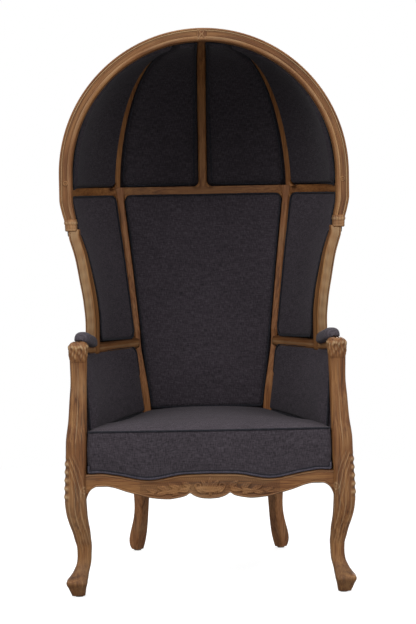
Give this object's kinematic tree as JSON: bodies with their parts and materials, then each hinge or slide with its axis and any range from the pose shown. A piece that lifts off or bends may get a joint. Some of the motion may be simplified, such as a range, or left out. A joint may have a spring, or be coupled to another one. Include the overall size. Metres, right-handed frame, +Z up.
{
  "type": "hall porter chair",
  "caption": "Fixed armchair with a tall domed hood: show-wood hoop, ribs and rails round upholstered pads, tight boxed seat, carved serpentine rail and cabriole legs.",
  "frame": {"origin": "on the floor under the middle of the chair's box", "axes": "+Z up, -Y towards the front, +X towards the right-hand arm as seen from the front"},
  "size_m": [0.814, 0.7218, 1.559],
  "materials": {
    "weathered_wood": "weathered and limed, dull wax",
    "frame_wood": "plain sawn hardwood",
    "pad_fabric": "charcoal slub linen weave",
    "cover_fabric": "charcoal slub linen weave",
    "webbing": "jute webbing",
    "dust_cloth": "thin black lining cloth",
    "glide": "brown nail-on glide"
  },
  "bodies": {
    "root": {"front_leg_left": "weathered_wood", "front_leg_right": "weathered_wood", "rear_upright_left": "weathered_wood", "rear_upright_right": "weathered_wood", "arm_rail_left": "weathered_wood", "arm_rail_right": "weathered_wood", "hood_stile_left": "weathered_wood", "hood_stile_right": "weathered_wood", "hoop_side_left": "weathered_wood", "hoop_side_right": "weathered_wood", "hoop_left": "weathered_wood", "hoop_right": "weathered_wood", "cross_rail_left": "weathered_wood", "cross_rail_right": "weathered_wood", "hood_rib_left": "weathered_wood", "hood_rib_right": "weathered_wood", "cross_rail_back": "weathered_wood", "hood_rib_centre": "weathered_wood", "front_seat_rail": "weathered_wood", "side_seat_rail_left": "frame_wood", "side_seat_rail_right": "frame_wood", "inner_front_rail": "frame_wood", "back_seat_rail": "frame_wood", "lower_back_rail": "frame_wood", "corner_blocks": "frame_wood", "hood_pad_back_left": "pad_fabric", "hood_pad_back_right": "pad_fabric", "hood_pad_front_left": "pad_fabric", "hood_pad_front_right": "pad_fabric", "wing_pad_left": "pad_fabric", "wing_pad_right": "pad_fabric", "side_pad_left": "pad_fabric", "side_pad_right": "pad_fabric", "arm_pad_left": "pad_fabric", "arm_pad_right": "pad_fabric", "back_pad": "pad_fabric", "seat": "pad_fabric", "hood_cover_back_left": "cover_fabric", "hood_cover_back_right": "cover_fabric", "hood_cover_front_left": "cover_fabric", "hood_cover_front_right": "cover_fabric", "wing_cover_left": "cover_fabric", "wing_cover_right": "cover_fabric", "arm_cover_left": "cover_fabric", "arm_cover_right": "cover_fabric", "back_cover": "cover_fabric", "seat_webbing": "webbing", "dust_cover": "dust_cloth", "glides": "glide"}
  },
  "joints": []
}
